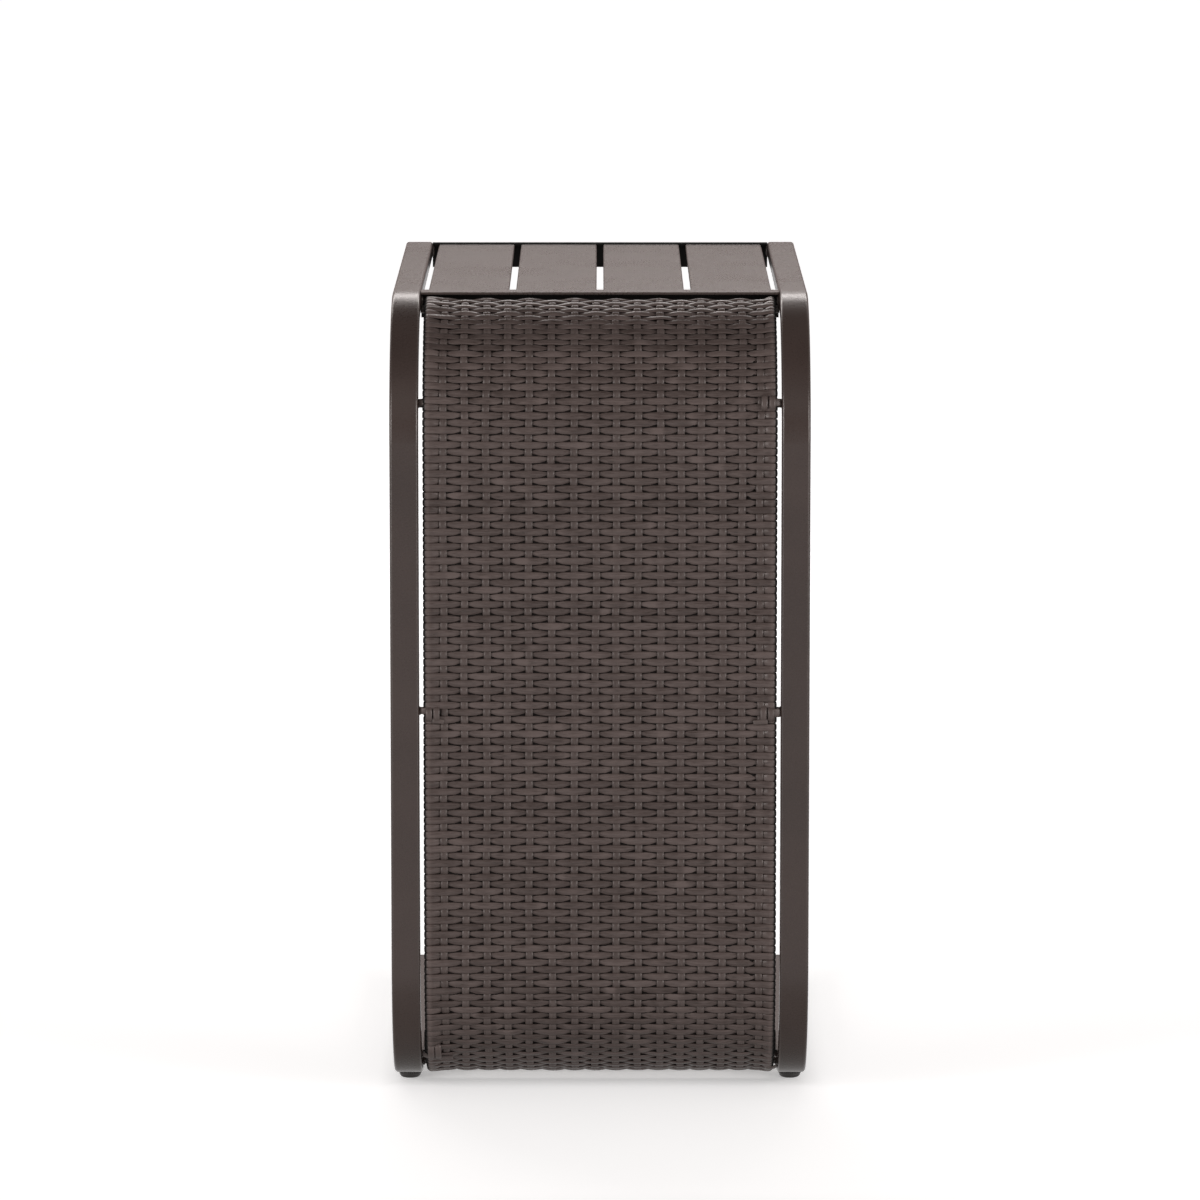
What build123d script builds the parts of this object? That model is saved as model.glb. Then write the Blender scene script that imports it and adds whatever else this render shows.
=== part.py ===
from build123d import *
import math
import os

# ---------------------------------------------------------------- dimensions (mm)
# Overall box
WIDTH = 305.0            # across the two side frames
DEPTH = 470.0            # front of the upright to the rear ends of the runs
HEIGHT = 591.5           # floor to the top of the side frames
FOOT_H = 7.5             # floor to the underside of the base runs

# Side frame tube
TUBE_W = 21.0            # seen from the front
TUBE_D = 12.0            # in the plane of the C
TUBE_WALL = 1.5
TUBE_CORNER = 2.5
BEND_R = 100.0           # outside radius of both bends
CAP_T = 3.0              # flange of the plug in each tube end
CAP_PLUG = 14.0

# Table top
SLAT_W = 59.5
SLAT_GAP = 5.0
SLAT_T = 4.0
SLAT_DROP = 1.0          # slat tops below the tops of the frames and cross pieces
SLAT_WALL = 1.2
CROSS_SLAT_D = 20.0      # flat bar across the front ends of the slats
CROSS_SLAT_T = 2.0
CROSS_SLAT_Y = -133.0
FRONT_RAIL_D = 8.0       # bar on edge under that one, set back from its front edge
FRONT_RAIL_H = 18.0
FRONT_RAIL_Y = -127.0    # rail centres
REAR_RAIL_D = 8.0        # bar on edge across the rear ends of the slats, level with them
REAR_RAIL_H = 19.0
REAR_RAIL_Y = 228.0
BASE_RAIL_D = 8.0        # bars on edge between the base runs, standing above them
BASE_RAIL_H = 22.0
BASE_RAIL_Z = 22.5
BASE_FRONT_RAIL_Y = -121.0
BASE_REAR_RAIL_Y = 216.0

# Woven panel and the rods that carry it
PANEL_W = 258.0
PANEL_T = 6.0
PANEL_INSET = 1.5        # behind the front of the frames, and below their top
PANEL_END_ANGLE = 83.0   # how far the weave follows each bend
EDGE_ROD_R = 1.9
EDGE_ROD_X = 125.1
EDGE_ROD_BACK = 0.9      # behind the middle of the weave
CROSS_ROD_R = 2.75
CROSS_ROD_GAP = 0.05     # between a cross rod and the back of the weave
UPPER_ROD_Z = 518.5
MIDDLE_ROD_Z = 294.0
TOP_ROD_ANGLE = 80.0
LOWER_ROD_ANGLE = 80.0

# Screw-in feet
FOOT_FRONT_Y = -126.5
FOOT_REAR_Y = 210.0
PAD_R = 8.5
PAD_GAP = 0.3            # under the base run with the foot screwed fully in
PAD_RIBS = 36
PAD_SOLE_H = 3.2         # rounded sole under the ribbed rim
PAD_GROOVE_R = 0.42
STUD_R = 3.95
STUD_BOTTOM_Z = 3.0
STUD_TOP_Z = 17.0
INSERT_BORE_R = 4.0
INSERT_R = 5.5
INSERT_FLANGE_R = 7.5
INSERT_TOP_Z = 17.5
INSERT_HOLE_R = 5.55

# ---------------------------------------------------------------- derived places
TUBE_X = WIDTH / 2 - TUBE_W / 2          # tube centre
INNER_X = WIDTH / 2 - TUBE_W             # inner face of each side frame
Y_FRONT = -DEPTH / 2
Y_BEND = Y_FRONT + BEND_R                # where the bends end
Y_TUBE_END = DEPTH / 2 - CAP_T
Z_BOT = FOOT_H
Z_TOP = HEIGHT
BEND_C = BEND_R - TUBE_D / 2             # centre-line bend radius
Z_TOP_BEND = Z_TOP - BEND_R              # bend centres
Z_BOT_BEND = Z_BOT + BEND_R
Z_RUN_TOP = Z_TOP - TUBE_D / 2           # centre lines
Z_RUN_BOT = Z_BOT + TUBE_D / 2
Y_UPRIGHT = Y_FRONT + TUBE_D / 2

PANEL_R = BEND_R - PANEL_INSET           # outside radius of the weave
Z_PANEL_BOT_BEND = Z_BOT + PANEL_R       # the weave ends level with the base runs
Y_PANEL = Y_BEND - PANEL_R
ROD_PATH_R = PANEL_R - PANEL_T - CROSS_ROD_R - CROSS_ROD_GAP
EDGE_PATH_R = PANEL_R - PANEL_T / 2 - EDGE_ROD_BACK

SLAT_PITCH = SLAT_W + SLAT_GAP
SLAT_X = [(i - 1.5) * SLAT_PITCH for i in range(4)]
SLAT_FRONT_Y = FRONT_RAIL_Y + FRONT_RAIL_D / 2
SLAT_END_Y = REAR_RAIL_Y - REAR_RAIL_D / 2
SLAT_MID_Z = Z_TOP - SLAT_DROP - SLAT_T / 2

os.makedirs("parts", exist_ok=True)


# ---------------------------------------------------------------- side frames
def side_frame(x):
    """Bent tube: top run, bend, upright, bend, base run, with two foot holes."""
    with BuildPart() as frame:
        with BuildLine(Plane.YZ.offset(x)) as path:
            Line((Y_TUBE_END, Z_RUN_TOP), (Y_BEND, Z_RUN_TOP))
            CenterArc((Y_BEND, Z_TOP_BEND), BEND_C, 90, 90)
            Line((Y_UPRIGHT, Z_TOP_BEND), (Y_UPRIGHT, Z_BOT_BEND))
            CenterArc((Y_BEND, Z_BOT_BEND), BEND_C, 180, 90)
            Line((Y_BEND, Z_RUN_BOT), (Y_TUBE_END, Z_RUN_BOT))
        with BuildSketch(Plane(origin=(x, Y_TUBE_END, Z_RUN_TOP), x_dir=(1, 0, 0), z_dir=(0, -1, 0))):
            RectangleRounded(TUBE_W, TUBE_D, TUBE_CORNER)
            RectangleRounded(TUBE_W - 2 * TUBE_WALL, TUBE_D - 2 * TUBE_WALL,
                             TUBE_CORNER - TUBE_WALL, mode=Mode.SUBTRACT)
        sweep(path=path.line)
        with BuildSketch(Plane.XY.offset(Z_BOT - 1)):
            with Locations((x, FOOT_FRONT_Y), (x, FOOT_REAR_Y)):
                Circle(INSERT_HOLE_R)
        extrude(amount=TUBE_WALL + 2, mode=Mode.SUBTRACT)
    return frame


left_frame = side_frame(-TUBE_X)
left_frame.part.label = "left_side_frame"
export_step(left_frame.part, "parts/left_side_frame.step")

right_frame = side_frame(TUBE_X)
right_frame.part.label = "right_side_frame"
export_step(right_frame.part, "parts/right_side_frame.step")


# ---------------------------------------------------------------- tube end caps
def end_cap(x, z):
    """Plug with a flange that covers the open rear end of a run."""
    with BuildPart() as cap:
        with BuildSketch(Plane(origin=(x, Y_TUBE_END, z), x_dir=(1, 0, 0), z_dir=(0, 1, 0))):
            RectangleRounded(TUBE_W, TUBE_D, TUBE_CORNER)
        extrude(amount=CAP_T)
        fillet(cap.faces().sort_by(Axis.Y)[-1].edges(), 1.0)
        with BuildSketch(Plane(origin=(x, Y_TUBE_END, z), x_dir=(1, 0, 0), z_dir=(0, -1, 0))):
            RectangleRounded(TUBE_W - 2 * TUBE_WALL - 0.1, TUBE_D - 2 * TUBE_WALL - 0.1,
                             TUBE_CORNER - TUBE_WALL)
            RectangleRounded(TUBE_W - 2 * TUBE_WALL - 4.1, TUBE_D - 2 * TUBE_WALL - 4.1, 0.5,
                             mode=Mode.SUBTRACT)
        extrude(amount=CAP_PLUG)
    return cap


for cap_name, cap_x, cap_z in (
    ("top_end_cap_left", -TUBE_X, Z_RUN_TOP),
    ("top_end_cap_right", TUBE_X, Z_RUN_TOP),
    ("base_end_cap_left", -TUBE_X, Z_RUN_BOT),
    ("base_end_cap_right", TUBE_X, Z_RUN_BOT),
):
    tube_cap = end_cap(cap_x, cap_z)
    tube_cap.part.label = cap_name
    export_step(tube_cap.part, "parts/" + cap_name + ".step")


# ---------------------------------------------------------------- cross rails
def cross_rail(y, z_mid, depth, height, corner):
    """Flat bar on edge between the inner faces of the side frames."""
    with BuildPart() as rail:
        with BuildSketch(Plane.YZ.offset(-INNER_X)):
            with Locations((y, z_mid)):
                RectangleRounded(depth, height, corner)
        extrude(amount=2 * INNER_X)
    return rail


front_slat_rail = cross_rail(FRONT_RAIL_Y, Z_TOP - CROSS_SLAT_T - FRONT_RAIL_H / 2,
                             FRONT_RAIL_D, FRONT_RAIL_H, 1.0)
front_slat_rail.part.label = "front_slat_rail"
export_step(front_slat_rail.part, "parts/front_slat_rail.step")

rear_slat_rail = cross_rail(REAR_RAIL_Y, Z_TOP - REAR_RAIL_H / 2, REAR_RAIL_D, REAR_RAIL_H, 1.0)
rear_slat_rail.part.label = "rear_slat_rail"
export_step(rear_slat_rail.part, "parts/rear_slat_rail.step")

base_front_rail = cross_rail(BASE_FRONT_RAIL_Y, BASE_RAIL_Z, BASE_RAIL_D, BASE_RAIL_H, 1.0)
base_front_rail.part.label = "base_front_rail"
export_step(base_front_rail.part, "parts/base_front_rail.step")

base_rear_rail = cross_rail(BASE_REAR_RAIL_Y, BASE_RAIL_Z, BASE_RAIL_D, BASE_RAIL_H, 1.0)
base_rear_rail.part.label = "base_rear_rail"
export_step(base_rear_rail.part, "parts/base_rear_rail.step")

# ---------------------------------------------------------------- table top
with BuildPart() as front_cross_slat:
    with BuildSketch(Plane.YZ.offset(-INNER_X)):
        with Locations((CROSS_SLAT_Y, Z_TOP - CROSS_SLAT_T / 2)):
            RectangleRounded(CROSS_SLAT_D, CROSS_SLAT_T, 0.8)
    extrude(amount=2 * INNER_X)
front_cross_slat.part.label = "front_cross_slat"
export_step(front_cross_slat.part, "parts/front_cross_slat.step")

for slat_index, slat_x in enumerate(SLAT_X, start=1):
    with BuildPart() as slat:
        with BuildSketch(Plane(origin=(slat_x, SLAT_FRONT_Y, SLAT_MID_Z), x_dir=(1, 0, 0), z_dir=(0, 1, 0))):
            RectangleRounded(SLAT_W, SLAT_T, 1.4)
            RectangleRounded(SLAT_W - 2 * SLAT_WALL, SLAT_T - 2 * SLAT_WALL, 0.4, mode=Mode.SUBTRACT)
        extrude(amount=SLAT_END_Y - SLAT_FRONT_Y)
    slat.part.label = "slat_%d" % slat_index
    export_step(slat.part, "parts/slat_%d.step" % slat_index)

# ---------------------------------------------------------------- rods in the woven panel
for rod_name, rod_x in (("panel_edge_rod_left", -EDGE_ROD_X), ("panel_edge_rod_right", EDGE_ROD_X)):
    with BuildPart() as edge_rod:
        with BuildLine(Plane.YZ.offset(rod_x)) as rod_path:
            CenterArc((Y_BEND, Z_TOP_BEND), EDGE_PATH_R, 180 - PANEL_END_ANGLE, PANEL_END_ANGLE)
            Line((Y_BEND - EDGE_PATH_R, Z_TOP_BEND), (Y_BEND - EDGE_PATH_R, Z_PANEL_BOT_BEND))
            CenterArc((Y_BEND, Z_PANEL_BOT_BEND), EDGE_PATH_R, 180, PANEL_END_ANGLE)
        with BuildSketch(Plane(origin=rod_path.line @ 0, z_dir=rod_path.line % 0)):
            Circle(EDGE_ROD_R)
        sweep(path=rod_path.line)
    edge_rod.part.label = rod_name
    export_step(edge_rod.part, "parts/" + rod_name + ".step")

ROD_TOP = math.radians(TOP_ROD_ANGLE)
ROD_LOW = math.radians(LOWER_ROD_ANGLE)
ROD_UP = math.asin((UPPER_ROD_Z - Z_TOP_BEND) / ROD_PATH_R)
for rod_name, rod_y, rod_z in (
    ("cross_rod_top", Y_BEND - ROD_PATH_R * math.cos(ROD_TOP), Z_TOP_BEND + ROD_PATH_R * math.sin(ROD_TOP)),
    ("cross_rod_upper", Y_BEND - ROD_PATH_R * math.cos(ROD_UP), UPPER_ROD_Z),
    ("cross_rod_middle", Y_BEND - ROD_PATH_R, MIDDLE_ROD_Z),
    ("cross_rod_lower", Y_BEND - ROD_PATH_R * math.cos(ROD_LOW), Z_PANEL_BOT_BEND - ROD_PATH_R * math.sin(ROD_LOW)),
):
    with BuildPart() as cross_rod:
        with BuildSketch(Plane.YZ.offset(-INNER_X)):
            with Locations((rod_y, rod_z)):
                Circle(CROSS_ROD_R)
        extrude(amount=2 * INNER_X)
    cross_rod.part.label = rod_name
    export_step(cross_rod.part, "parts/" + rod_name + ".step")

# ---------------------------------------------------------------- woven panel
# One sheet of weave that follows both bends, with a channel for each edge rod.
with BuildPart() as woven_panel:
    with BuildSketch(Plane.YZ.offset(-PANEL_W / 2)):
        with BuildLine():
            outer_top = CenterArc((Y_BEND, Z_TOP_BEND), PANEL_R, 180 - PANEL_END_ANGLE, PANEL_END_ANGLE)
            Line((Y_PANEL, Z_TOP_BEND), (Y_PANEL, Z_PANEL_BOT_BEND))
            outer_low = CenterArc((Y_BEND, Z_PANEL_BOT_BEND), PANEL_R, 180, PANEL_END_ANGLE)
            inner_low = CenterArc((Y_BEND, Z_PANEL_BOT_BEND), PANEL_R - PANEL_T, 180, PANEL_END_ANGLE)
            Line((Y_PANEL + PANEL_T, Z_PANEL_BOT_BEND), (Y_PANEL + PANEL_T, Z_TOP_BEND))
            inner_top = CenterArc((Y_BEND, Z_TOP_BEND), PANEL_R - PANEL_T, 180 - PANEL_END_ANGLE, PANEL_END_ANGLE)
            Line(outer_top @ 0, inner_top @ 0)
            Line(outer_low @ 1, inner_low @ 1)
        make_face()
    extrude(amount=PANEL_W)
    for channel_x in (-EDGE_ROD_X, EDGE_ROD_X):
        with BuildLine(Plane.YZ.offset(channel_x)) as channel:
            CenterArc((Y_BEND, Z_TOP_BEND), EDGE_PATH_R, 180 - PANEL_END_ANGLE, PANEL_END_ANGLE)
            Line((Y_BEND - EDGE_PATH_R, Z_TOP_BEND), (Y_BEND - EDGE_PATH_R, Z_PANEL_BOT_BEND))
            CenterArc((Y_BEND, Z_PANEL_BOT_BEND), EDGE_PATH_R, 180, PANEL_END_ANGLE)
        with BuildSketch(Plane(origin=channel.line @ 0, z_dir=channel.line % 0)):
            Circle(EDGE_ROD_R)
        sweep(path=channel.line, mode=Mode.SUBTRACT)
woven_panel.part.label = "woven_panel"
export_step(woven_panel.part, "parts/woven_panel.step")

# ---------------------------------------------------------------- feet
FOOT_PLACES = (
    ("front_left", -TUBE_X, FOOT_FRONT_Y),
    ("front_right", TUBE_X, FOOT_FRONT_Y),
    ("rear_left", -TUBE_X, FOOT_REAR_Y),
    ("rear_right", TUBE_X, FOOT_REAR_Y),
)

# Threaded inserts set in the bottom wall of the base runs.
with BuildPart() as foot_inserts:
    with BuildSketch(Plane.XY.offset(Z_BOT)):
        with Locations(*[(fx, fy) for _, fx, fy in FOOT_PLACES]):
            Circle(INSERT_R)
            Circle(INSERT_BORE_R, mode=Mode.SUBTRACT)
    extrude(amount=INSERT_TOP_Z - Z_BOT)
    with BuildSketch(Plane.XY.offset(Z_BOT + TUBE_WALL)):
        with Locations(*[(fx, fy) for _, fx, fy in FOOT_PLACES]):
            Circle(INSERT_FLANGE_R)
            Circle(INSERT_BORE_R, mode=Mode.SUBTRACT)
    extrude(amount=2.5)
foot_inserts.part.label = "foot_inserts"
export_step(foot_inserts.part, "parts/foot_inserts.step")

for place, foot_x, foot_y in FOOT_PLACES:
    # Stud: the threaded part, drawn at its outside diameter.
    with BuildPart() as stud:
        with BuildSketch(Plane.XY.offset(STUD_BOTTOM_Z)):
            with Locations((foot_x, foot_y)):
                Circle(STUD_R)
        extrude(amount=STUD_TOP_Z - STUD_BOTTOM_Z)
        chamfer(stud.faces().sort_by(Axis.Z)[-1].edges(), 0.8)
    stud.part.label = "foot_stud_" + place
    export_step(stud.part, "parts/foot_stud_" + place + ".step")

    # Pad: ribbed rim above a smooth rounded sole, blind bore for the stud.
    with BuildPart() as pad:
        with BuildSketch(Plane.XY):
            with Locations((foot_x, foot_y)):
                Circle(PAD_R - 0.5)
        extrude(amount=PAD_SOLE_H)
        fillet(pad.faces().sort_by(Axis.Z)[0].edges(), 2.8)
        with BuildSketch(Plane.XY.offset(PAD_SOLE_H)):
            with Locations((foot_x, foot_y)):
                Circle(PAD_R)
                with PolarLocations(PAD_R, PAD_RIBS):
                    Circle(PAD_GROOVE_R, mode=Mode.SUBTRACT)
        extrude(amount=FOOT_H - PAD_GAP - PAD_SOLE_H)
        with BuildSketch(Plane.XY.offset(STUD_BOTTOM_Z - 0.1)):
            with Locations((foot_x, foot_y)):
                Circle(STUD_R + 0.05)
        extrude(amount=FOOT_H, mode=Mode.SUBTRACT)
    pad.part.label = "foot_pad_" + place
    export_step(pad.part, "parts/foot_pad_" + place + ".step")
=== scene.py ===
import math

import bpy
import numpy as np
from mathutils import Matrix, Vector


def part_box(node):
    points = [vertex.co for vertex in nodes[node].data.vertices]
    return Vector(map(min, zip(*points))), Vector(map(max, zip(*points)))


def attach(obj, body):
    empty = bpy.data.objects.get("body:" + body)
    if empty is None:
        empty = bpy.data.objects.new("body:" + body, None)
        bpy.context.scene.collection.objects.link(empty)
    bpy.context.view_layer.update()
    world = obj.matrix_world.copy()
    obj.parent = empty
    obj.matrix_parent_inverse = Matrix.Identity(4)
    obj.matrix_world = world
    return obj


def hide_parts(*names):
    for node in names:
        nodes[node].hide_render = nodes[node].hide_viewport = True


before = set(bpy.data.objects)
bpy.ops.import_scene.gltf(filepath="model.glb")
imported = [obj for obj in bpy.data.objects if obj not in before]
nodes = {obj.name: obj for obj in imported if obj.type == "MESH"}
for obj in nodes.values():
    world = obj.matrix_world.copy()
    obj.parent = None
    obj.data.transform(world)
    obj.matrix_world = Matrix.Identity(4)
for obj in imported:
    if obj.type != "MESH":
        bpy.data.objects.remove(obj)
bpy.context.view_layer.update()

rng = np.random.RandomState(41)
MM = 0.001


# ------------------------------------------------------------------ places, in metres
INNER_X = 0.1315             # inner faces of the side frames
Y_BEND = -0.135              # where both bends end
Z_TOP_BEND = 0.4915          # bend centres of the weave
Z_LOW_BEND = 0.1060
R_MID = 0.0955               # middle of the weave
END = math.radians(83.0)     # how far the weave follows each bend
ARC = R_MID * END
STRAIGHT = Z_TOP_BEND - Z_LOW_BEND
LENGTH = 2 * ARC + STRAIGHT
EDGE_X = 0.1251              # edge rods
EDGE_R = 0.0019
EDGE_N = -0.0009             # behind the middle of the weave
CROSS_N = -0.0058            # cross rods, behind the middle of the weave
CROSS_R = 0.00275
CROSS_S_TOP = R_MID * math.radians(3.0)
CROSS_S_LOW = LENGTH - CROSS_S_TOP
STAKE_X = np.array([-113.7, -98.4, -82.5, -67.6, -51.7, -35.1, -18.6, -3.3, 11.7,
                    27.7, 44.2, 59.1, 73.7, 88.8, 103.2, 116.4]) * MM


# ------------------------------------------------------------------ node helpers
def material(name):
    mat = bpy.data.materials.new(name)
    mat.use_nodes = True
    tree = mat.node_tree
    tree.nodes.clear()
    out = tree.nodes.new("ShaderNodeOutputMaterial")
    bsdf = tree.nodes.new("ShaderNodeBsdfPrincipled")
    tree.links.new(bsdf.outputs["BSDF"], out.inputs["Surface"])
    return mat, tree, bsdf


def noise(tree, coords, scale, detail=2.0, rough=0.5, stretch=None):
    if stretch is not None:
        mapping = tree.nodes.new("ShaderNodeMapping")
        mapping.inputs["Scale"].default_value = stretch
        tree.links.new(coords, mapping.inputs["Vector"])
        coords = mapping.outputs["Vector"]
    node = tree.nodes.new("ShaderNodeTexNoise")
    node.inputs["Scale"].default_value = scale
    node.inputs["Detail"].default_value = detail
    node.inputs["Roughness"].default_value = rough
    tree.links.new(coords, node.inputs["Vector"])
    return node.outputs["Fac"]


def spread(tree, value, low, high, start=0.3, stop=0.7):
    node = tree.nodes.new("ShaderNodeMapRange")
    node.inputs["From Min"].default_value = start
    node.inputs["From Max"].default_value = stop
    node.inputs["To Min"].default_value = low
    node.inputs["To Max"].default_value = high
    tree.links.new(value, node.inputs["Value"])
    return node.outputs["Result"]


def math_node(tree, operation, a, b):
    node = tree.nodes.new("ShaderNodeMath")
    node.operation = operation
    for socket, value in zip(node.inputs, (a, b)):
        if isinstance(value, (int, float)):
            socket.default_value = value
        else:
            tree.links.new(value, socket)
    return node.outputs["Value"]


def between(tree, fac, dark, light):
    node = tree.nodes.new("ShaderNodeMix")
    node.data_type = "RGBA"
    node.inputs["A"].default_value = (*dark, 1.0)
    node.inputs["B"].default_value = (*light, 1.0)
    tree.links.new(fac, node.inputs["Factor"])
    return node.outputs["Result"]


def bump(tree, height, strength, distance, under=None):
    node = tree.nodes.new("ShaderNodeBump")
    node.inputs["Strength"].default_value = strength
    node.inputs["Distance"].default_value = distance
    tree.links.new(height, node.inputs["Height"])
    if under is not None:
        tree.links.new(under, node.inputs["Normal"])
    return node.outputs["Normal"]


def object_coords(tree):
    return tree.nodes.new("ShaderNodeTexCoord").outputs["Object"]


# ------------------------------------------------------------------ materials
def powder_coat():
    mat, tree, bsdf = material("powder_coat")
    co = object_coords(tree)
    broad = noise(tree, co, 14.0, 3.0)
    grain = noise(tree, co, 1500.0, 2.0)
    peel = noise(tree, co, 520.0, 2.0)
    tone = math_node(tree, "ADD", math_node(tree, "MULTIPLY", broad, 0.55), math_node(tree, "MULTIPLY", grain, 0.45))
    tree.links.new(between(tree, spread(tree, tone, 0.0, 1.0, 0.34, 0.66), (0.0340, 0.0235, 0.0202), (0.0505, 0.0358, 0.0312)),
                   bsdf.inputs["Base Color"])
    tree.links.new(spread(tree, math_node(tree, "ADD", math_node(tree, "MULTIPLY", peel, 0.6), math_node(tree, "MULTIPLY", broad, 0.4)),
                          0.24, 0.33), bsdf.inputs["Roughness"])
    first = bump(tree, noise(tree, co, 32.0, 2.0), 0.30, 0.0010)
    first = bump(tree, peel, 0.22, 0.00022, first)
    tree.links.new(bump(tree, grain, 0.20, 0.00010, first), bsdf.inputs["Normal"])
    return mat


def resin(name, dark, light, gleam, rough_low, rough_high):
    mat, tree, bsdf = material(name)
    uv = tree.nodes.new("ShaderNodeUVMap")
    uv.uv_map = "Strand"
    along = uv.outputs["UV"]
    lines = noise(tree, along, 1.0, 3.0, 0.6, (110.0, 1500.0, 1.0))
    mottle = noise(tree, along, 1.0, 2.0, 0.5, (120.0, 300.0, 1.0))
    grain = noise(tree, object_coords(tree), 1700.0, 2.0)
    tone = tree.nodes.new("ShaderNodeAttribute")
    tone.attribute_name = "tone"
    mix = math_node(tree, "ADD", math_node(tree, "MULTIPLY", lines, 0.56), math_node(tree, "MULTIPLY", mottle, 0.24))
    mix = math_node(tree, "ADD", mix, math_node(tree, "MULTIPLY", tone.outputs["Fac"], 0.20))
    # Painted shade: a per-point attribute mixes the colour to near black and raises the roughness where strands face
    # the gap beside the frame.
    painted_shade = tree.nodes.new("ShaderNodeAttribute")
    painted_shade.attribute_name = "painted_shade"
    painted_gap_shade = tree.nodes.new("ShaderNodeMix")
    painted_gap_shade.data_type = "RGBA"
    painted_gap_shade.inputs["A"].default_value = (0.0035, 0.0030, 0.0028, 1.0)
    tree.links.new(painted_shade.outputs["Fac"], painted_gap_shade.inputs["Factor"])
    tree.links.new(between(tree, spread(tree, mix, 0.0, 1.0, 0.34, 0.66), dark, light), painted_gap_shade.inputs["B"])
    tree.links.new(painted_gap_shade.outputs["Result"], bsdf.inputs["Base Color"])
    gloss = spread(tree, math_node(tree, "ADD", math_node(tree, "MULTIPLY", lines, 0.5), math_node(tree, "MULTIPLY", mottle, 0.5)), rough_low, rough_high)
    tree.links.new(math_node(tree, "ADD", gloss, spread(tree, painted_shade.outputs["Fac"], 0.5, 0.0, 0.0, 1.0)), bsdf.inputs["Roughness"])
    bsdf.inputs["Specular IOR Level"].default_value = gleam
    first = bump(tree, lines, 0.60, 0.00018)
    tree.links.new(bump(tree, grain, 0.18, 0.00008, first), bsdf.inputs["Normal"])
    return mat


def moulded(name, dark, light, rough_low, rough_high, scale, gleam):
    mat, tree, bsdf = material(name)
    bsdf.inputs["Specular IOR Level"].default_value = gleam
    co = object_coords(tree)
    broad = noise(tree, co, 60.0, 3.0)
    grain = noise(tree, co, scale, 2.0)
    tree.links.new(between(tree, spread(tree, math_node(tree, "ADD", math_node(tree, "MULTIPLY", broad, 0.5),
                                                      math_node(tree, "MULTIPLY", grain, 0.5)), 0.0, 1.0), dark, light),
                   bsdf.inputs["Base Color"])
    tree.links.new(spread(tree, broad, rough_low, rough_high), bsdf.inputs["Roughness"])
    tree.links.new(bump(tree, grain, 0.35, 0.00012), bsdf.inputs["Normal"])
    return mat


def zinc():
    mat, tree, bsdf = material("zinc_steel")
    co = object_coords(tree)
    broad = noise(tree, co, 220.0, 3.0)
    grain = noise(tree, co, 2600.0, 2.0)
    bsdf.inputs["Metallic"].default_value = 1.0
    tree.links.new(between(tree, spread(tree, broad, 0.0, 1.0), (0.46, 0.46, 0.45), (0.62, 0.62, 0.63)), bsdf.inputs["Base Color"])
    tree.links.new(spread(tree, grain, 0.28, 0.46), bsdf.inputs["Roughness"])
    tree.links.new(bump(tree, grain, 0.2, 0.00005), bsdf.inputs["Normal"])
    return mat


COAT = powder_coat()
RESIN = resin("resin_weave", (0.042, 0.0309, 0.0276), (0.086, 0.0672, 0.0622), 0.45, 0.36, 0.50)
RESIN_ROWS = resin("resin_weave_rows", (0.0460, 0.0341, 0.0307), (0.106, 0.0835, 0.0779), 0.34, 0.24, 0.40)
# Near-black strips inside the weave: painted shade seen in the gaps between rows.
GAP_SHADE_BLACK = resin("weave_gap_shade_black", (0.0040, 0.0030, 0.0027), (0.0085, 0.0063, 0.0056), 0.1, 0.45, 0.60)
# Rails coloured near black: painted shade for the dark seen through the slots and in the gaps beside the frame.
RAIL_SHADE_BLACK = moulded("black_primer", (0.0045, 0.0043, 0.0043), (0.0095, 0.0092, 0.0090), 0.70, 0.84, 1300.0, 0.15)
PLUG = moulded("black_plastic", (0.0085, 0.0083, 0.0083), (0.017, 0.0165, 0.016), 0.42, 0.56, 1800.0, 0.4)
RUBBER = moulded("foot_rubber", (0.016, 0.0154, 0.0150), (0.034, 0.0327, 0.0315), 0.34, 0.48, 1500.0, 0.5)
ZINC = zinc()

for name, obj in nodes.items():
    if "end_cap" in name:
        use = PLUG
    # The rails take the near-black painted shade.
    elif name.endswith("_rail"):
        use = RAIL_SHADE_BLACK
    elif name.startswith("foot_pad"):
        use = RUBBER
    elif name.startswith("foot_"):
        use = ZINC
    else:
        use = COAT
    obj.data.materials.clear()
    obj.data.materials.append(use)


# ------------------------------------------------------------------ strand meshes
def oval(count, power):
    """Closed outline, half a unit out each way, from round (2) to nearly square."""
    angle = 2 * math.pi * np.arange(count) / count
    c, s = np.cos(angle), np.sin(angle)
    return np.stack([np.sign(c) * np.abs(c) ** (2 / power), np.sign(s) * np.abs(s) ** (2 / power)], 1) / 2


def unit(v):
    return v / np.maximum(np.linalg.norm(v, axis=-1, keepdims=True), 1e-12)


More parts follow.
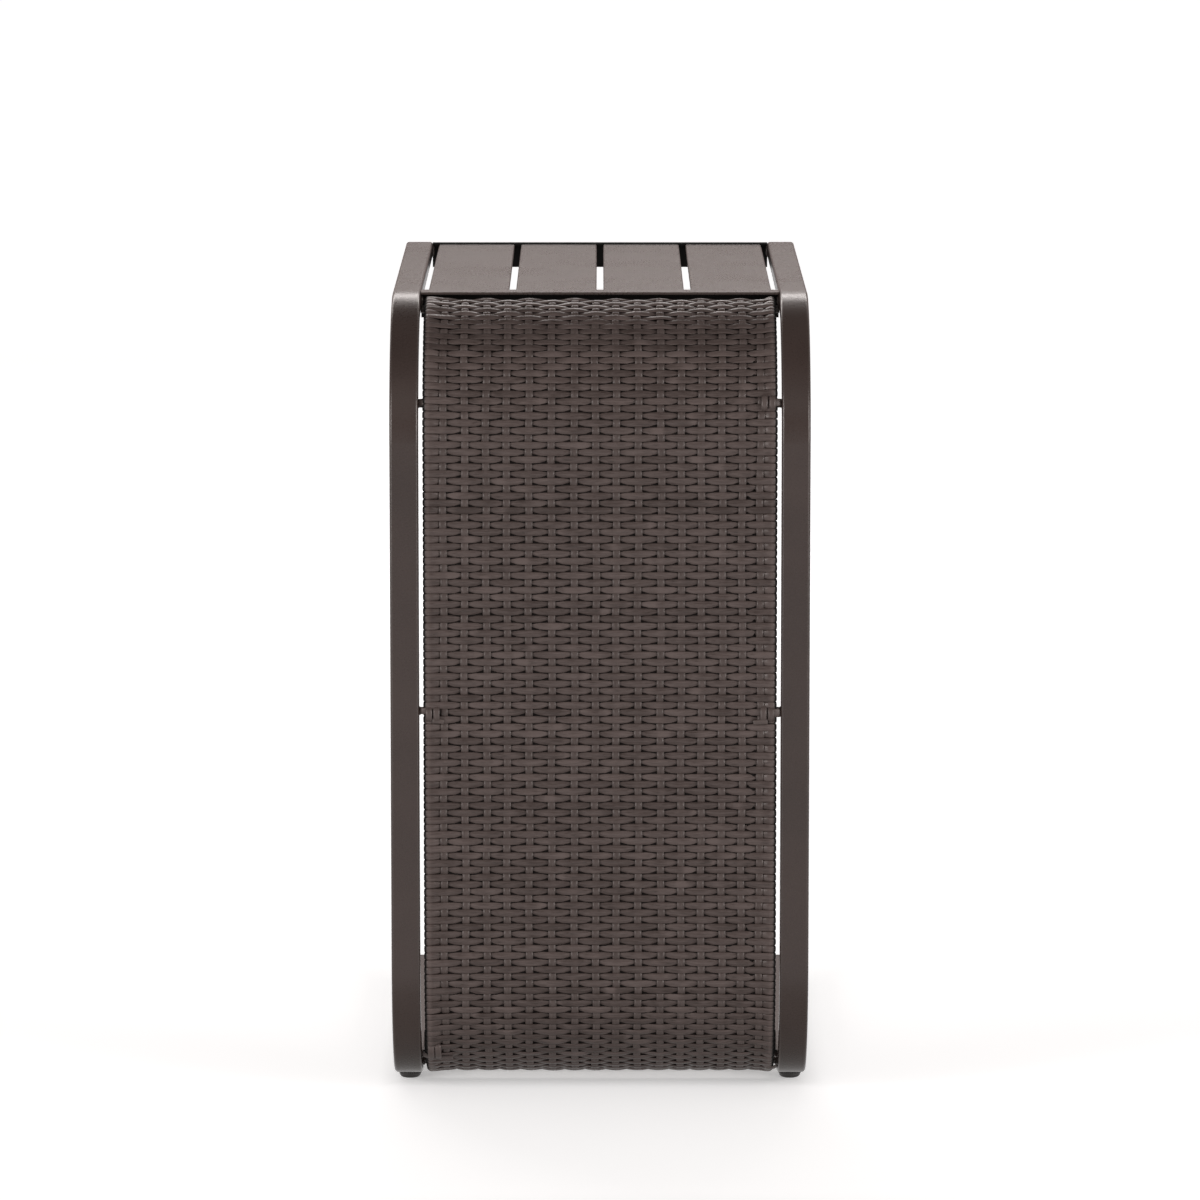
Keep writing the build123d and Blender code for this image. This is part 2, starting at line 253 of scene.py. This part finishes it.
class Strands:
    """Swept strands gathered into one mesh, each with its own strip of the maps."""

    def __init__(self):
        self.parts = []

    def add(self, path, wide, width, thick, outline, tone, painted_gap_shade=True):
        path = np.asarray(path, float)
        run = unit(np.gradient(path, axis=0))
        wide = unit(wide - run * np.sum(wide * run, 1, keepdims=True))
        deep = np.cross(run, wide)
        width = np.broadcast_to(width, len(path))[:, None, None]
        thick = np.broadcast_to(thick, len(path))[:, None, None]
        rings = (path[:, None] + wide[:, None] * outline[None, :, :1] * width
                 + deep[:, None] * outline[None, :, 1:] * thick)
        length = np.concatenate([[0.0], np.cumsum(np.linalg.norm(np.diff(path, axis=0), axis=1))])
        # Painted shade: strands are coloured near black where they face the narrow gap beside the frame.
        painted_shade = 1 - np.clip((np.abs(rings[..., 0]) - 0.1263) / 0.0006, 0, 1) * painted_gap_shade
        self.parts.append((rings, length, tone, painted_shade))

    def piece(self, name, mat, body, slot):
        verts, faces, bake, strand, tones, painted_shades = [], [], [], [], [], []
        base, total = 0, len(self.parts)
        for index, (rings, length, tone, painted_shade) in enumerate(self.parts):
            n, m = rings.shape[:2]
            verts.append(rings.reshape(-1, 3))
            tones.append(np.repeat(np.broadcast_to(tone, n), m))
            painted_shades.append(painted_shade.ravel())
            i, j = np.meshgrid(np.arange(n - 1), np.arange(m), indexing="ij")
            i, j = i.ravel(), j.ravel()
            k = (j + 1) % m
            faces += np.stack([base + i * m + j, base + i * m + k, base + (i + 1) * m + k, base + (i + 1) * m + j], 1).tolist()
            faces.append((base + np.arange(m)[::-1]).tolist())
            faces.append((base + (n - 1) * m + np.arange(m)).tolist())
            around = np.linalg.norm(np.diff(np.vstack([rings[n // 2], rings[n // 2][:1]]), axis=0), axis=1).sum()
            u = 0.008 + 0.974 * length / length[-1]
            v = (index + 0.08 + 0.84 * np.arange(m + 1) / m) / total
            bake.append(np.stack([np.stack([u[i], v[j]], 1), np.stack([u[i], v[j + 1]], 1),
                                  np.stack([u[i + 1], v[j + 1]], 1), np.stack([u[i + 1], v[j]], 1)], 1).reshape(-1, 2))
            w = index * 0.037 + around * np.arange(m + 1) / m
            strand.append(np.stack([np.stack([length[i], w[j]], 1), np.stack([length[i], w[j + 1]], 1),
                                    np.stack([length[i + 1], w[j + 1]], 1), np.stack([length[i + 1], w[j]], 1)], 1).reshape(-1, 2))
            turn = 2 * math.pi * np.arange(m) / m
            for middle, sweep, at in ((0.9875, turn[::-1], 0.0), (0.9955, turn, length[-1])):
                bake.append(np.stack([middle + 0.0028 * np.cos(sweep), (index + 0.5 + 0.36 * np.sin(sweep)) / total], 1))
                strand.append(np.stack([at + 0.001 * np.cos(sweep), w[0] + 0.002 * np.sin(sweep)], 1))
            base += n * m
        mesh = bpy.data.meshes.new(name)
        mesh.from_pydata(np.concatenate(verts).tolist(), [], faces)
        mesh.polygons.foreach_set("use_smooth", np.ones(len(mesh.polygons), bool))
        layer = mesh.uv_layers.new(name="Strand")
        layer.data.foreach_set("uv", np.concatenate(strand).ravel())
        layer = mesh.uv_layers.new(name="OFBake")
        layer.data.foreach_set("uv", np.concatenate(bake).ravel())
        for label, values in (("tone", tones), ("painted_shade", painted_shades)):
            attribute = mesh.attributes.new(label, "FLOAT", "POINT")
            attribute.data.foreach_set("value", np.concatenate(values))
        mesh.materials.append(mat)
        mesh.update()
        obj = bpy.data.objects.new(name, mesh)
        bpy.context.scene.collection.objects.link(obj)
        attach(obj, body)
        return obj


# ------------------------------------------------------------------ the weave's surface
def on_weave(x, s, n):
    """Points at x across, s along from the top end and n out of the middle surface."""
    x, s, n = np.broadcast_arrays(np.asarray(x, float), np.asarray(s, float), np.asarray(n, float))
    top, low = s < ARC, s > ARC + STRAIGHT
    angle = np.where(top, END - s / R_MID, np.where(low, (s - ARC - STRAIGHT) / R_MID, 0.0))
    y = Y_BEND - (R_MID + n) * np.cos(angle)
    rise = (R_MID + n) * np.sin(angle)
    z = np.where(top, Z_TOP_BEND + rise, np.where(low, Z_LOW_BEND - rise, Z_TOP_BEND - (s - ARC)))
    return np.stack([x, y, z], -1)


def down_weave(s):
    """Unit direction of growing s."""
    s = np.asarray(s, float)
    top, low = s < ARC, s > ARC + STRAIGHT
    angle = np.where(top, END - s / R_MID, np.where(low, (s - ARC - STRAIGHT) / R_MID, 0.0))
    return np.stack([np.zeros_like(angle), np.where(low, 1.0, -1.0) * np.sin(angle), -np.cos(angle)], -1)


def out_weave(s):
    s = np.asarray(s, float)
    top, low = s < ARC, s > ARC + STRAIGHT
    angle = np.where(top, END - s / R_MID, np.where(low, (s - ARC - STRAIGHT) / R_MID, 0.0))
    return np.stack([np.zeros_like(angle), -np.cos(angle), np.where(low, -1.0, 1.0) * np.sin(angle)], -1)


ROWS = 125
PITCH = LENGTH / ROWS
WEFT_W, WEFT_T = 0.00522, 0.00186
STAKE_W, STAKE_T = 0.00545, 0.00156
WEFT_RISE = 0.00089
STAKE_RISE = 0.00099
GAP_SHADE_RISE = 0.00036
WRAP_R = EDGE_R + 0.00090
WEFT_OUTLINE = oval(12, 2.6)
STAKE_OUTLINE = oval(10, 2.7)
ROW_S = (np.arange(ROWS) + 0.5) * PITCH

stake_phase = rng.uniform(0, 2 * math.pi, (16, 2))
stake_sway = rng.uniform(0.15, 0.45, (16, 2)) * MM


def stake_place(s):
    """Every stake's x at s."""
    s = np.asarray(s, float)[..., None]
    return (STAKE_X + stake_sway[:, 0] * np.sin(s * 21.0 + stake_phase[:, 0])
            + stake_sway[:, 1] * np.sin(s * 57.0 + stake_phase[:, 1]))


row_shift = rng.normal(0.0, 0.06, ROWS) * MM
row_tone = np.clip(0.5 + rng.normal(0.0, 0.22, ROWS), 0.0, 1.0)

wefts = [Strands(), Strands()]
for row in range(ROWS):
    centre = ROW_S[row] + row_shift[row]
    posts = stake_place(centre)
    over = np.where((np.arange(16) + row) % 2 == 0, 1.0, -1.0)
    level = over * WEFT_RISE * rng.uniform(0.92, 1.08, 16)
    knots_x = np.concatenate([[-EDGE_X], posts, [EDGE_X]])
    knots_n = np.concatenate([[EDGE_N + WRAP_R], level, [EDGE_N + WRAP_R]])
    xs, ns = [], []
    for a in range(17):
        count = 5 if a in (0, 16) else 6
        t = np.arange(count) / count
        blend = (1 - np.cos(math.pi * t)) / 2
        xs.append(knots_x[a] + (knots_x[a + 1] - knots_x[a]) * t)
        ns.append(knots_n[a] + (knots_n[a + 1] - knots_n[a]) * blend)
    xs, ns = np.concatenate(xs), np.concatenate(ns)
    turn = np.radians(np.linspace(0, 186, 10))
    tail_t = np.array([0.35, 1.0])
    end_x = EDGE_X + WRAP_R * np.sin(turn)
    end_n = EDGE_N + WRAP_R * np.cos(turn)
    tail_x = EDGE_X - 0.0008 - 0.0085 * tail_t
    tail_n = EDGE_N - WRAP_R + 0.0004 * tail_t
    right_x, right_n = np.concatenate([end_x, tail_x]), np.concatenate([end_n, tail_n])
    path_x = np.concatenate([-right_x[::-1][:-1], xs, right_x])
    path_n = np.concatenate([right_n[::-1][:-1], ns, right_n])
    behind = np.concatenate([np.zeros(len(right_x) - 1), np.clip(-ns / WEFT_RISE, 0, 1), np.zeros(len(right_x))])
    ahead = np.concatenate([np.zeros(len(right_x) - 1), np.clip(ns / WEFT_RISE, 0, 1), np.zeros(len(right_x))])
    edge = np.clip((np.abs(path_x) - 0.1175) / 0.006, 0, 1)
    bow = (2 * centre / LENGTH - 1) * 0.0011
    waves = sum(rng.normal(0, 0.04) * MM * np.sin(path_x * f + rng.uniform(0, 6.28)) for f in (24.0, 61.0, 140.0))
    path_s = centre + bow * np.abs(path_x / 0.1275) ** 3 + waves - 0.00050 * behind
    path = on_weave(path_x, path_s, path_n)
    lean = sum(rng.normal(0, 3.6) * np.sin(path_x * f + rng.uniform(0, 6.28)) for f in (20.0, 75.0, 190.0))
    lean = np.radians(lean)[:, None]
    wide = down_weave(path_s) * np.cos(lean) + out_weave(path_s) * np.sin(lean)
    width = (WEFT_W - 0.00210 * behind + 0.00030 * ahead) * rng.uniform(0.99, 1.01)
    thick = (WEFT_T - 0.0002 * edge) * rng.uniform(0.97, 1.03)
    tone = row_tone[row] + sum(rng.normal(0, 0.14) * np.sin(path_x * f + rng.uniform(0, 6.28)) for f in (31.0, 97.0, 205.0))
    # A few lighter patches at random places along some rows: painted sheen standing in for shiny spots.
    tone = tone + rng.choice([0.0, 1.0, 1.9]) * np.exp(-((path_x - rng.uniform(-0.11, 0.11)) / 0.0034) ** 2)
    # Lighter strip just inside each edge, where the rows turn round the edge rods: a painted highlight.
    tone = tone + 0.9 * np.exp(-((np.abs(path_x) - 0.1251) / 0.0012) ** 2)
    wefts[0 if row < 62 else 1].add(path, wide, width, thick, WEFT_OUTLINE, tone)

stakes = Strands()
for index in range(16):
    per = 4
    s = np.arange(0, ROWS * per + 1) * (PITCH / per)
    phase = s / PITCH - 0.5
    first_over = 1.0 if index % 2 == 0 else -1.0
    swing = np.cos(math.pi * phase)
    n = -STAKE_RISE * first_over * swing * (1.35 - 0.35 * swing ** 2)
    keep = (s > 0.0050) & (s < LENGTH - 0.0050)
    s, n = s[keep], n[keep]
    loop = np.radians(np.linspace(0, 180, 11))
    loop_s = 0.0049 - 0.0052 * np.sin(loop)
    loop_n = -0.0054 + 0.0052 * np.cos(loop)
    hook_s = np.array([0.0078, 0.0108, 0.0138, 0.0168])
    hook_n = np.array([-0.0104, -0.0090, -0.0066, -0.0040])
    top_s = np.concatenate([hook_s[::-1], loop_s[::-1]])
    top_n = np.concatenate([hook_n[::-1], loop_n[::-1]])
    all_s = np.concatenate([top_s, s, LENGTH - top_s[::-1]])
    all_n = np.concatenate([top_n, n, top_n[::-1]])
    x = stake_place(np.clip(all_s, 0, LENGTH))[..., index]
    path = on_weave(x, all_s, all_n)
    wide = np.tile([1.0, 0.0, 0.0], (len(path), 1))
    stakes.add(path, wide, STAKE_W, STAKE_T, STAKE_OUTLINE, float(np.clip(0.68 + rng.normal(0, 0.15), 0, 1.2)))

# Flat near-black strips on both sides of every stake, inside the rows, seen only in the gaps: painted shade that makes
# the gaps between rows dark.
gap_shade_strips = Strands()
GAP_SHADE_OUTLINE = oval(6, 3.0)
for index in range(-1, 17):
    per = 3
    s = np.arange(0, ROWS * per + 1) * (PITCH / per)
    s = s[(s > 0.0015) & (s < LENGTH - 0.0015)]
    first_over = 1.0 if index % 2 == 0 else -1.0
    n = GAP_SHADE_RISE * first_over * np.cos(math.pi * (s / PITCH - 0.5))
    for side in (-1, 1):
        if index in (-1, 16):
            if side * (index - 8) > 0:
                continue
            x = np.full(len(s), -math.copysign(1, 8 - index) * (EDGE_X - 0.0030))
            n_here = np.zeros(len(s)) - 0.0002
            wide_here = 0.0046
        else:
            x = stake_place(s)[..., index] + side * 0.0043
            n_here, wide_here = n, 0.0094
        path = on_weave(x, s, n_here)
        gap_shade_strips.add(path, np.tile([1.0, 0.0, 0.0], (len(path), 1)), wide_here, 0.0005, GAP_SHADE_OUTLINE, 0.0)
gap_shade_piece = gap_shade_strips.piece("weave_gap_shade_strips", GAP_SHADE_BLACK, "table_frame", "resin_weave")

weft_upper = wefts[0].piece("weave_rows_upper", RESIN_ROWS, "table_frame", "resin_weave")
weft_lower = wefts[1].piece("weave_rows_lower", RESIN_ROWS, "table_frame", "resin_weave")
stake_piece = stakes.piece("weave_stakes", RESIN, "table_frame", "resin_weave")
for piece in (weft_upper, weft_lower, stake_piece, gap_shade_piece):
    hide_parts("woven_panel")

# Strand wound round the rod at each end of the weave.
binding = Strands()
for rod_s in (CROSS_S_TOP, CROSS_S_LOW):
    step = 0.0052
    turns = int(0.236 / step)
    angle = np.arange(turns * 14 + 1) / 14 * 2 * math.pi
    x = -turns * step / 2 + step * angle / (2 * math.pi)
    r = CROSS_R + 0.00062
    axis = on_weave(np.zeros(1), np.full(1, rod_s), np.full(1, CROSS_N))[0]
    down, out = down_weave(np.full(1, rod_s))[0], out_weave(np.full(1, rod_s))[0]
    radial = np.cos(angle)[:, None] * out + np.sin(angle)[:, None] * down
    path = axis + radial * r + np.stack([x, 0 * x, 0 * x], 1)
    binding.add(path, np.tile([1.0, 0.0, 0.0], (len(path), 1)), 0.0050, 0.0012, STAKE_OUTLINE, 0.5)

# Loops that tie the weave to the cross rods at both edges.
UPPER_S = ARC - R_MID * math.asin((0.5185 - Z_TOP_BEND) / (R_MID + CROSS_N))
MIDDLE_S = ARC + Z_TOP_BEND - 0.2940
LOW_TIE_S = LENGTH - R_MID * math.radians(36.0)
for rod_s, shift, sides, tall, back in ((UPPER_S, 0.0006, (1,), 0.0056, 0.0099), (MIDDLE_S, 0.0016, (-1, 1), 0.0058, 0.0099),
                                        (LOW_TIE_S, 0.0, (-1,), 0.0080, 0.0048)):
    for side in sides:
        for x, reach in ((0.1242, 0.0044), (0.1194, 0.0042)):
            angle = np.linspace(0, 2 * math.pi, 41) + 2.4
            c, s = np.cos(angle), np.sin(angle)
            half_s = tall + rng.uniform(-0.0003, 0.0003)
            n = (reach - back) / 2 + (reach + back) / 2 * np.sign(c) * np.abs(c) ** 0.8
            along = rod_s + shift + half_s * np.sign(s) * np.abs(s) ** 0.8
            sway = side * (x + 0.0004 * np.sin(angle * 0.5 + x * 900)) + rng.uniform(-0.0003, 0.0003)
            path = on_weave(sway, along, n)
            binding.add(path, np.tile([1.0, 0.0, 0.0], (len(path), 1)), 0.0047, 0.0014, STAKE_OUTLINE,
                        float(rng.uniform(0.9, 1.3)), False)
# Cut ends of the ties, tucked along a row.
for side, rod_s, drop, reach in ((-1, LOW_TIE_S, 0.0066, 0.0135), (1, MIDDLE_S, 0.0068, 0.0105), (-1, MIDDLE_S, 0.0062, 0.0085)):
    t = np.linspace(0, 1, 9)
    x = side * (0.1220 - reach * t)
    n = 0.0031 - 0.0008 * t + 0.0003 * np.sin(t * math.pi)
    path = on_weave(x, rod_s + drop + 0.0010 * t ** 2, n)
    binding.add(path, down_weave(np.full(9, rod_s)), 0.0042 - 0.0006 * t, 0.0013, STAKE_OUTLINE, 0.9)
# Straps from the edge of the weave over the ends of the cross rods, up to the frame.
for side, rod_s, wide_mm, out in ((1, UPPER_S + 0.0004, 5.8, 0.0008), (1, MIDDLE_S + 0.0004, 6.4, 0.0018),
                                  (-1, MIDDLE_S - 0.0010, 5.0, 0.0010), (-1, UPPER_S, 5.4, -0.0010),
                                  (1, LENGTH - R_MID * math.radians(17.0), 9.5, 0.0006),
                                  (-1, LENGTH - R_MID * math.radians(32.0), 6.6, 0.0)):
    x = np.array([0.1222, 0.1240, 0.1258, 0.1276, 0.1294, 0.1306, 0.1313])
    n = out + np.array([0.0010, 0.0015, 0.0017, 0.0012, 0.0006, 0.0, -0.0004])
    path = on_weave(side * x, rod_s, n)
    binding.add(path, down_weave(np.full(len(x), rod_s)), wide_mm * MM, 0.0016, STAKE_OUTLINE, 1.1, False)
binding_piece = binding.piece("weave_bindings", RESIN, "table_frame", "resin_weave")


# ------------------------------------------------------------------ welds
BEAD = oval(8, 2.0)
beads = Strands()


def weld(corners, size, step=0.0007):
    """Bead on both frames along a line of (y, z) points."""
    corners = np.asarray(corners, float)
    length = np.concatenate([[0], np.cumsum(np.linalg.norm(np.diff(corners, axis=0), axis=1))])
    even = np.linspace(0, length[-1], max(8, int(length[-1] / step)))
    line = np.stack([np.interp(even, length, corners[:, k]) for k in (0, 1)], 1)
    fade = np.clip(np.minimum(even, length[-1] - even) / 0.0016, 0.35, 1.0)
    for side in (-1, 1):
        ripple = 1 + 0.10 * np.sin(even * 2 * math.pi / 0.0031 + rng.uniform(0, 6)) + rng.normal(0, 0.03, len(even))
        path = np.stack([np.full(len(line), side * (INNER_X - 0.00015)), line[:, 0], line[:, 1]], 1)
        beads.add(path, np.tile([1.0, 0.0, 0.0], (len(path), 1)), size * ripple * fade, size * ripple * fade, BEAD, 0.5, False)


frame_lo, frame_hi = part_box("left_side_frame")
top_under = frame_hi.z - 0.012       # underside of the top runs
base_over = frame_lo.z + 0.012       # top of the base runs
for node in ("front_slat_rail", "rear_slat_rail"):
    lo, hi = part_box(node)
    for y in (lo.y, hi.y):
        weld([(y, top_under + 0.0012), (y, hi.z - 0.0016)], 0.0026)
for node in ("base_front_rail", "base_rear_rail"):
    lo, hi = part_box(node)
    weld([(lo.y, base_over - 0.0012), (lo.y, lo.z + 0.0010), (lo.y + 0.0010, lo.z), (hi.y - 0.0010, lo.z),
          (hi.y, lo.z + 0.0010), (hi.y, base_over - 0.0012)], 0.0026)
# The cross rods lap the inner faces of the uprights with their front half.
for node, middle_z in (("cross_rod_top", Z_TOP_BEND), ("cross_rod_upper", Z_TOP_BEND), ("cross_rod_middle", None),
                       ("cross_rod_lower", frame_lo.z + 0.100)):
    lo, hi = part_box(node)
    y, z = (lo.y + hi.y) / 2, (lo.z + hi.z) / 2
    facing = math.pi if middle_z is None else math.atan2(z - middle_z, y - Y_BEND)
    angle = facing + np.radians(np.linspace(-95, 95, 25))
    weld(np.stack([y + CROSS_R * np.cos(angle), z + CROSS_R * np.sin(angle)], 1), 0.0019)
bead_piece = beads.piece("weld_beads", COAT, "table_frame", "powder_coat")


# ------------------------------------------------------------------ threaded studs
def thread(name, node, body):
    lo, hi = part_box(node)
    x, y = (lo.x + hi.x) / 2, (lo.y + hi.y) / 2
    around, pitch = 36, 0.00125
    z = np.linspace(lo.z, hi.z, int((hi.z - lo.z) / pitch * 8) + 1)
    angle = 2 * math.pi * np.arange(around) / around
    zz, aa = np.meshgrid(z, angle, indexing="ij")
    wave = np.abs(((zz / pitch - aa / (2 * math.pi)) % 1.0) * 2 - 1)
    depth = np.clip(1.25 * wave - 0.12, 0, 1) * 0.00066
    radius = (hi.x - lo.x) / 2 - depth
    radius = np.minimum(radius, (hi.x - lo.x) / 2 - np.clip(zz - (hi.z - 0.0009), 0, None))
    verts = np.stack([x + radius * np.cos(aa), y + radius * np.sin(aa), zz], -1).reshape(-1, 3)
    faces = []
    for i in range(len(z) - 1):
        for j in range(around):
            k = (j + 1) % around
            faces.append((i * around + j, i * around + k, (i + 1) * around + k, (i + 1) * around + j))
    faces.append(tuple(range(around))[::-1])
    faces.append(tuple((len(z) - 1) * around + j for j in range(around)))
    mesh = bpy.data.meshes.new(name)
    mesh.from_pydata(verts.tolist(), [], faces)
    mesh.materials.append(ZINC)
    mesh.polygons.foreach_set("use_smooth", np.array([len(f) == 4 for f in faces]))
    mesh.update()
    obj = bpy.data.objects.new(name, mesh)
    bpy.context.scene.collection.objects.link(obj)
    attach(obj, body)
    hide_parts(node)


for place in ("front_left", "front_right", "rear_left", "rear_right"):
    thread("stud_thread_" + place, "foot_stud_" + place, place + "_foot_stud")


# ------------------------------------------------------------------ floor, light, camera
floor_mat, tree, bsdf = material("floor")
grain = noise(tree, object_coords(tree), 3.0, 2.0)
tree.links.new(between(tree, spread(tree, grain, 0.0, 1.0), (0.86, 0.895, 0.91), (0.88, 0.915, 0.93)), bsdf.inputs["Base Color"])
bsdf.inputs["Roughness"].default_value = 0.9
bsdf.inputs["Specular IOR Level"].default_value = 0.0
bsdf.inputs["Emission Color"].default_value = (1.0, 1.0, 1.0, 1.0)
split = tree.nodes.new("ShaderNodeSeparateXYZ")
tree.links.new(object_coords(tree), split.inputs["Vector"])
# Emission dimmed in a soft patch under the table: a painted contact shadow on the floor.
across = math_node(tree, "SUBTRACT", math_node(tree, "ABSOLUTE", split.outputs["X"], 0.0), 0.11)
along = math_node(tree, "SUBTRACT", math_node(tree, "ABSOLUTE", math_node(tree, "ADD", split.outputs["Y"], -0.045), 0.0), 0.150)
under = spread(tree, math_node(tree, "MAXIMUM", across, along), 0.30, 1.0, 0.0, 0.055)
glow = math_node(tree, "ADD", spread(tree, split.outputs["Y"], 0.10, 0.48, -1.05, -0.50),
                 spread(tree, split.outputs["Y"], 0.0, 0.24, 0.8, 5.0))
tree.links.new(math_node(tree, "MULTIPLY", glow, under), bsdf.inputs["Emission Strength"])
mesh = bpy.data.meshes.new("floor")
mesh.from_pydata([(-60, -60, 0), (60, -60, 0), (60, 60, 0), (-60, 60, 0)], [], [(0, 1, 2, 3)])
mesh.materials.append(floor_mat)
floor = bpy.data.objects.new("floor", mesh)
bpy.context.scene.collection.objects.link(floor)
floor.visible_diffuse = floor.visible_glossy = False

world = bpy.data.worlds.new("studio")
bpy.context.scene.world = world
world.use_nodes = True
tree = world.node_tree
tree.nodes.clear()
out = tree.nodes.new("ShaderNodeOutputWorld")
back = tree.nodes.new("ShaderNodeBackground")
coords = tree.nodes.new("ShaderNodeTexCoord")
split = tree.nodes.new("ShaderNodeSeparateXYZ")
ramp = tree.nodes.new("ShaderNodeValToRGB")
ramp.color_ramp.interpolation = "EASE"
ramp.color_ramp.elements[0].position = 0.0
ramp.color_ramp.elements[0].color = (0.36, 0.345, 0.335, 1.0)
ramp.color_ramp.elements[1].position = 0.95
ramp.color_ramp.elements[1].color = (0.15, 0.141, 0.137, 1.0)
for height, colour in ((-0.65, (0.46, 0.44, 0.43)), (-0.34, (0.80, 0.785, 0.785)), (-0.08, (0.92, 0.90, 0.90)), (0.0, (0.375, 0.30, 0.282)),
                       (0.15, (0.375, 0.30, 0.282)), (0.42, (0.65, 0.595, 0.575))):
    ramp.color_ramp.elements.new((height + 1) / 2).color = (*colour, 1.0)
tree.links.new(coords.outputs["Generated"], split.inputs["Vector"])
tree.links.new(spread(tree, split.outputs["Z"], 0.0, 1.0, -1.0, 1.0), ramp.inputs["Fac"])
tree.links.new(ramp.outputs["Color"], back.inputs["Color"])
back.inputs["Strength"].default_value = 1.0
tree.links.new(back.outputs["Background"], out.inputs["Surface"])


def area_light(name, place, target, size, power):
    data = bpy.data.lights.new(name, "AREA")
    data.shape = "RECTANGLE"
    data.size, data.size_y = size
    data.energy = power
    data.color = (1.0, 0.94, 0.915)
    obj = bpy.data.objects.new(name, data)
    obj.location = place
    obj.rotation_mode = "QUATERNION"
    obj.rotation_quaternion = (Vector(target) - Vector(place)).to_track_quat("-Z", "Y")
    obj.visible_camera = False
    bpy.context.scene.collection.objects.link(obj)


for side in (-1, 1):
    area_light("side_softbox", (side * 3.0, -2.2, 1.0), (0.0, -0.2, 0.35), (1.2, 1.6), 62.0)
area_light("back_softbox", (-0.5, 3.2, 2.42), (0.0, 0.0, 0.6), (4.0, 0.75), 50.0)

bpy.context.scene.view_settings.view_transform = "Standard"
bpy.context.scene.view_settings.look = "None"

camera_data = bpy.data.cameras.new("photo_camera")
camera_data.sensor_fit = "HORIZONTAL"
camera_data.sensor_width = 36.0
camera_data.lens = 6971.0 * 36.0 / 1200.0
camera_data.clip_start, camera_data.clip_end = 0.1, 200.0
camera = bpy.data.objects.new("photo_camera", camera_data)
camera.location = (0.0, -5.2359, 1.1305)
camera.rotation_euler = (math.radians(90.0 - 8.569), 0.0, 0.0)
bpy.context.scene.collection.objects.link(camera)
bpy.context.scene.camera = camera
